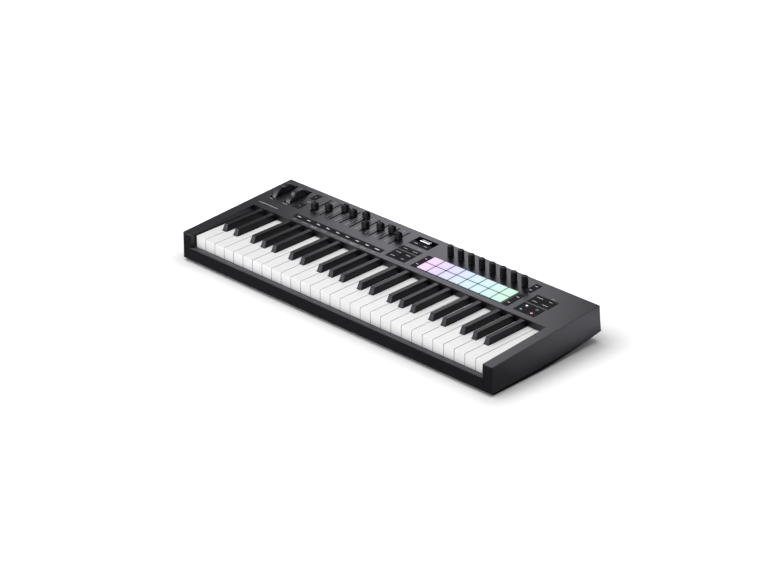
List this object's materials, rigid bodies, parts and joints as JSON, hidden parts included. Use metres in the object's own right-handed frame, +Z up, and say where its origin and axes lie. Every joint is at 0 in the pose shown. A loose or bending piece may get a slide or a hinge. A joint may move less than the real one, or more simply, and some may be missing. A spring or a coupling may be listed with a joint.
{
  "type": "midi keyboard",
  "caption": "Controller keyboard in a low wedge case with hinged full-size keys, two wheels, faders, endless encoders, lit pads, push buttons and a small display.",
  "frame": {"origin": "on the surface that the feet stand on, under the middle of the case's width and depth", "axes": "+X to the player's right along the keys, +Y away from the player, +Z up"},
  "size_m": [0.726, 0.2718, 0.0865],
  "materials": {
    "case_plastic": "fine-textured satin charcoal plastic",
    "tray_plastic": "matt black moulded plastic",
    "key_white": "smooth semi-gloss white plastic",
    "key_black": "satin black plastic",
    "control_plastic": "soft matt black plastic",
    "wheel_rubber": "soft-touch dark grey rubber",
    "pad_silicone": "translucent silicone lit from below",
    "button_silicone": "matt dark silicone with lit legends",
    "display_lens": "glossy smoked lens",
    "module_plastic": "matt black module",
    "board": "green circuit board",
    "dome_rubber": "matt grey silicone",
    "felt": "dense red felt",
    "chassis_plastic": "matt grey structural plastic",
    "foot_rubber": "matt black rubber"
  },
  "bodies": {
    "case": {"top_case": "case_plastic", "bottom_case": "tray_plastic", "front_left_foot": "foot_rubber", "front_right_foot": "foot_rubber", "rear_left_foot": "foot_rubber", "rear_right_foot": "foot_rubber", "keybed_chassis": "chassis_plastic", "key_felt": "felt", "contact_board": "board", "contact_strip": "dome_rubber", "io_board": "board", "fader_board": "board", "encoder_board": "board", "pad_board": "board", "control_board": "board", "display_window": "display_lens", "display_module": "module_plastic", "wheel_cradle": "tray_plastic"},
    "natural_keys_octave_2": {"natural_keys_octave_2": "key_white"},
    "sharp_keys_octave_2": {"sharp_keys_octave_2": "key_black"},
    "natural_keys_octave_3": {"natural_keys_octave_3": "key_white"},
    "sharp_keys_octave_3": {"sharp_keys_octave_3": "key_black"},
    "key_c4": {"key_c4": "key_white"},
    "key_d4": {"key_d4": "key_white"},
    "key_e4": {"key_e4": "key_white"},
    "key_f4": {"key_f4": "key_white"},
    "key_g4": {"key_g4": "key_white"},
    "key_a4": {"key_a4": "key_white"},
    "key_b4": {"key_b4": "key_white"},
    "key_c_sharp_4": {"key_c_sharp_4": "key_black"},
    "key_d_sharp_4": {"key_d_sharp_4": "key_black"},
    "key_f_sharp_4": {"key_f_sharp_4": "key_black"},
    "key_g_sharp_4": {"key_g_sharp_4": "key_black"},
    "key_a_sharp_4": {"key_a_sharp_4": "key_black"},
    "natural_keys_octave_5": {"natural_keys_octave_5": "key_white"},
    "sharp_keys_octave_5": {"sharp_keys_octave_5": "key_black"},
    "key_c6": {"key_c6": "key_white"},
    "fader_1": {"fader_1": "control_plastic"},
    "fader_2": {"fader_2": "control_plastic"},
    "fader_3": {"fader_3": "control_plastic"},
    "fader_4": {"fader_4": "control_plastic"},
    "fader_5": {"fader_5": "control_plastic"},
    "fader_6": {"fader_6": "control_plastic"},
    "fader_7": {"fader_7": "control_plastic"},
    "fader_8": {"fader_8": "control_plastic"},
    "fader_9": {"fader_9": "control_plastic"},
    "encoder_1": {"encoder_1": "control_plastic"},
    "encoder_2": {"encoder_2": "control_plastic"},
    "encoder_3": {"encoder_3": "control_plastic"},
    "encoder_4": {"encoder_4": "control_plastic"},
    "encoder_5": {"encoder_5": "control_plastic"},
    "encoder_6": {"encoder_6": "control_plastic"},
    "encoder_7": {"encoder_7": "control_plastic"},
    "encoder_8": {"encoder_8": "control_plastic"},
    "pitch_wheel": {"pitch_wheel": "wheel_rubber"},
    "mod_wheel": {"mod_wheel": "wheel_rubber"},
    "pad_mat": {"pad_mat": "pad_silicone"},
    "left_button_mat": {"left_button_mat": "button_silicone"},
    "centre_button_mat": {"centre_button_mat": "button_silicone"},
    "right_button_mat": {"right_button_mat": "button_silicone"}
  },
  "joints": [
    {"name": "natural_keys_octave_2_press", "type": "hinge", "parent": "case", "child": "natural_keys_octave_2", "pos_m": [-0.2585, 0.0426, 0.0435], "axis": [1, 0, 0], "range_deg": [0, 3.4], "stiffness_Nm_per_rad": 2.1, "springref_deg": -14.32},
    {"name": "sharp_keys_octave_2_press", "type": "hinge", "parent": "case", "child": "sharp_keys_octave_2", "pos_m": [-0.2585, 0.0426, 0.0435], "axis": [1, 0, 0], "range_deg": [0, 3.4], "stiffness_Nm_per_rad": 1.5, "springref_deg": -14.32},
    {"name": "natural_keys_octave_3_press", "type": "hinge", "parent": "case", "child": "natural_keys_octave_3", "pos_m": [-0.094, 0.0426, 0.0435], "axis": [1, 0, 0], "range_deg": [0, 3.4], "stiffness_Nm_per_rad": 2.1, "springref_deg": -14.32},
    {"name": "sharp_keys_octave_3_press", "type": "hinge", "parent": "case", "child": "sharp_keys_octave_3", "pos_m": [-0.094, 0.0426, 0.0435], "axis": [1, 0, 0], "range_deg": [0, 3.4], "stiffness_Nm_per_rad": 1.5, "springref_deg": -14.32},
    {"name": "key_c4_press", "type": "hinge", "parent": "case", "child": "key_c4", "pos_m": [0, 0.0426, 0.0435], "axis": [1, 0, 0], "range_deg": [0, 3.4], "stiffness_Nm_per_rad": 0.3, "springref_deg": -14.32},
    {"name": "key_d4_press", "type": "hinge", "parent": "case", "child": "key_d4", "pos_m": [0.0235, 0.0426, 0.0435], "axis": [1, 0, 0], "range_deg": [0, 3.4], "stiffness_Nm_per_rad": 0.3, "springref_deg": -14.32},
    {"name": "key_e4_press", "type": "hinge", "parent": "case", "child": "key_e4", "pos_m": [0.047, 0.0426, 0.0435], "axis": [1, 0, 0], "range_deg": [0, 3.4], "stiffness_Nm_per_rad": 0.3, "springref_deg": -14.32},
    {"name": "key_f4_press", "type": "hinge", "parent": "case", "child": "key_f4", "pos_m": [0.0705, 0.0426, 0.0435], "axis": [1, 0, 0], "range_deg": [0, 3.4], "stiffness_Nm_per_rad": 0.3, "springref_deg": -14.32},
    {"name": "key_g4_press", "type": "hinge", "parent": "case", "child": "key_g4", "pos_m": [0.094, 0.0426, 0.0435], "axis": [1, 0, 0], "range_deg": [0, 3.4], "stiffness_Nm_per_rad": 0.3, "springref_deg": -14.32},
    {"name": "key_a4_press", "type": "hinge", "parent": "case", "child": "key_a4", "pos_m": [0.1175, 0.0426, 0.0435], "axis": [1, 0, 0], "range_deg": [0, 3.4], "stiffness_Nm_per_rad": 0.3, "springref_deg": -14.32},
    {"name": "key_b4_press", "type": "hinge", "parent": "case", "child": "key_b4", "pos_m": [0.141, 0.0426, 0.0435], "axis": [1, 0, 0], "range_deg": [0, 3.4], "stiffness_Nm_per_rad": 0.3, "springref_deg": -14.32},
    {"name": "key_c_sharp_4_press", "type": "hinge", "parent": "case", "child": "key_c_sharp_4", "pos_m": [0.00975, 0.0426, 0.0435], "axis": [1, 0, 0], "range_deg": [0, 3.4], "stiffness_Nm_per_rad": 0.3, "springref_deg": -14.32},
    {"name": "key_d_sharp_4_press", "type": "hinge", "parent": "case", "child": "key_d_sharp_4", "pos_m": [0.03725, 0.0426, 0.0435], "axis": [1, 0, 0], "range_deg": [0, 3.4], "stiffness_Nm_per_rad": 0.3, "springref_deg": -14.32},
    {"name": "key_f_sharp_4_press", "type": "hinge", "parent": "case", "child": "key_f_sharp_4", "pos_m": [0.07925, 0.0426, 0.0435], "axis": [1, 0, 0], "range_deg": [0, 3.4], "stiffness_Nm_per_rad": 0.3, "springref_deg": -14.32},
    {"name": "key_g_sharp_4_press", "type": "hinge", "parent": "case", "child": "key_g_sharp_4", "pos_m": [0.10575, 0.0426, 0.0435], "axis": [1, 0, 0], "range_deg": [0, 3.4], "stiffness_Nm_per_rad": 0.3, "springref_deg": -14.32},
    {"name": "key_a_sharp_4_press", "type": "hinge", "parent": "case", "child": "key_a_sharp_4", "pos_m": [0.13225, 0.0426, 0.0435], "axis": [1, 0, 0], "range_deg": [0, 3.4], "stiffness_Nm_per_rad": 0.3, "springref_deg": -14.32},
    {"name": "natural_keys_octave_5_press", "type": "hinge", "parent": "case", "child": "natural_keys_octave_5", "pos_m": [0.235, 0.0426, 0.0435], "axis": [1, 0, 0], "range_deg": [0, 3.4], "stiffness_Nm_per_rad": 2.1, "springref_deg": -14.32},
    {"name": "sharp_keys_octave_5_press", "type": "hinge", "parent": "case", "child": "sharp_keys_octave_5", "pos_m": [0.235, 0.0426, 0.0435], "axis": [1, 0, 0], "range_deg": [0, 3.4], "stiffness_Nm_per_rad": 1.5, "springref_deg": -14.32},
    {"name": "key_c6_press", "type": "hinge", "parent": "case", "child": "key_c6", "pos_m": [0.329, 0.0426, 0.0435], "axis": [1, 0, 0], "range_deg": [0, 3.4], "stiffness_Nm_per_rad": 0.3, "springref_deg": -14.32},
    {"name": "fader_1_slide", "type": "slide", "parent": "case", "child": "fader_1", "axis": [0, 0.9984, 0.0574], "range_m": [-0.0092, 0.0394]},
    {"name": "fader_2_slide", "type": "slide", "parent": "case", "child": "fader_2", "axis": [0, 0.9984, 0.0574], "range_m": [-0.0202, 0.0284]},
    {"name": "fader_3_slide", "type": "slide", "parent": "case", "child": "fader_3", "axis": [0, 0.9984, 0.0574], "range_m": [-0.0373, 0.0113]},
    {"name": "fader_4_slide", "type": "slide", "parent": "case", "child": "fader_4", "axis": [0, 0.9984, 0.0574], "range_m": [-0.0331, 0.0155]},
    {"name": "fader_5_slide", "type": "slide", "parent": "case", "child": "fader_5", "axis": [0, 0.9984, 0.0574], "range_m": [-0.041, 0.0076]},
    {"name": "fader_6_slide", "type": "slide", "parent": "case", "child": "fader_6", "axis": [0, 0.9984, 0.0574], "range_m": [-0.0142, 0.0344]},
    {"name": "fader_7_slide", "type": "slide", "parent": "case", "child": "fader_7", "axis": [0, 0.9984, 0.0574], "range_m": [-0.0273, 0.0213]},
    {"name": "fader_8_slide", "type": "slide", "parent": "case", "child": "fader_8", "axis": [0, 0.9984, 0.0574], "range_m": [-0.0316, 0.017]},
    {"name": "fader_9_slide", "type": "slide", "parent": "case", "child": "fader_9", "axis": [0, 0.9984, 0.0574], "range_m": [-0.0218, 0.0268]},
    {"name": "encoder_1_turn", "type": "hinge", "parent": "case", "child": "encoder_1", "pos_m": [0.056, 0.10071, 0.0672], "axis": [0, -0.0574, 0.9984], "continuous": true},
    {"name": "encoder_2_turn", "type": "hinge", "parent": "case", "child": "encoder_2", "pos_m": [0.08, 0.10071, 0.0672], "axis": [0, -0.0574, 0.9984], "continuous": true},
    {"name": "encoder_3_turn", "type": "hinge", "parent": "case", "child": "encoder_3", "pos_m": [0.104, 0.10071, 0.0672], "axis": [0, -0.0574, 0.9984], "continuous": true},
    {"name": "encoder_4_turn", "type": "hinge", "parent": "case", "child": "encoder_4", "pos_m": [0.128, 0.10071, 0.0672], "axis": [0, -0.0574, 0.9984], "continuous": true},
    {"name": "encoder_5_turn", "type": "hinge", "parent": "case", "child": "encoder_5", "pos_m": [0.152, 0.10071, 0.0672], "axis": [0, -0.0574, 0.9984], "continuous": true},
    {"name": "encoder_6_turn", "type": "hinge", "parent": "case", "child": "encoder_6", "pos_m": [0.176, 0.10071, 0.0672], "axis": [0, -0.0574, 0.9984], "continuous": true},
    {"name": "encoder_7_turn", "type": "hinge", "parent": "case", "child": "encoder_7", "pos_m": [0.2, 0.10071, 0.0672], "axis": [0, -0.0574, 0.9984], "continuous": true},
    {"name": "encoder_8_turn", "type": "hinge", "parent": "case", "child": "encoder_8", "pos_m": [0.224, 0.10071, 0.0672], "axis": [0, -0.0574, 0.9984], "continuous": true},
    {"name": "pitch_wheel_turn", "type": "hinge", "parent": "case", "child": "pitch_wheel", "pos_m": [-0.3361, 0.0875, 0.05222], "axis": [1, 0, 0], "range_deg": [-33, 33], "stiffness_Nm_per_rad": 0.05},
    {"name": "mod_wheel_turn", "type": "hinge", "parent": "case", "child": "mod_wheel", "pos_m": [-0.3015, 0.0875, 0.05222], "axis": [-1, 0, 0], "range_deg": [0, 67]},
    {"name": "pad_mat_press", "type": "slide", "parent": "case", "child": "pad_mat", "axis": [0, 0.0574, -0.9984], "range_m": [0, 0.001], "stiffness_N_per_m": 600, "springref_m": -0.002},
    {"name": "left_button_mat_press", "type": "slide", "parent": "case", "child": "left_button_mat", "axis": [0, 0.0574, -0.9984], "range_m": [0, 0.0008], "stiffness_N_per_m": 600, "springref_m": -0.002},
    {"name": "centre_button_mat_press", "type": "slide", "parent": "case", "child": "centre_button_mat", "axis": [0, 0.0574, -0.9984], "range_m": [0, 0.0008], "stiffness_N_per_m": 600, "springref_m": -0.002},
    {"name": "right_button_mat_press", "type": "slide", "parent": "case", "child": "right_button_mat", "axis": [0, 0.0574, -0.9984], "range_m": [0, 0.0008], "stiffness_N_per_m": 600, "springref_m": -0.002}
  ]
}
